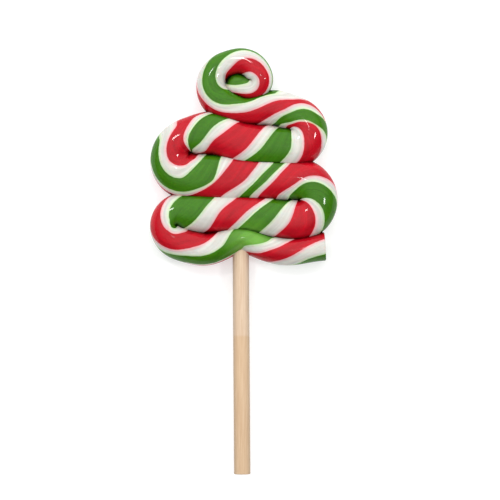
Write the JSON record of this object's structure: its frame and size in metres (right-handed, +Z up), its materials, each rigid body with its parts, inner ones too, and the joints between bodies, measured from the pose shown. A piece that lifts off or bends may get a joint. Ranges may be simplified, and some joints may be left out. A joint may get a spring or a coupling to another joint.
{
  "type": "christmas tree lollipop",
  "caption": "Christmas tree lollipop: a twisted striped sugar rope laid in widening folds to a curled crown, on a round wooden stick.",
  "frame": {"origin": "under the middle of the whole lollipop, on the surface that it lies on", "axes": "+Y from the stick's foot towards the crown, +X to the right as the shown side is seen, +Z up out of the shown side"},
  "size_m": [0.064, 0.1457, 0.0121],
  "materials": {
    "candy": "glossy boiled sugar in twisted green, white and red bands",
    "birch": "plain smooth birch"
  },
  "bodies": {
    "root": {"candy_rope": "candy", "stick": "birch"}
  },
  "joints": []
}
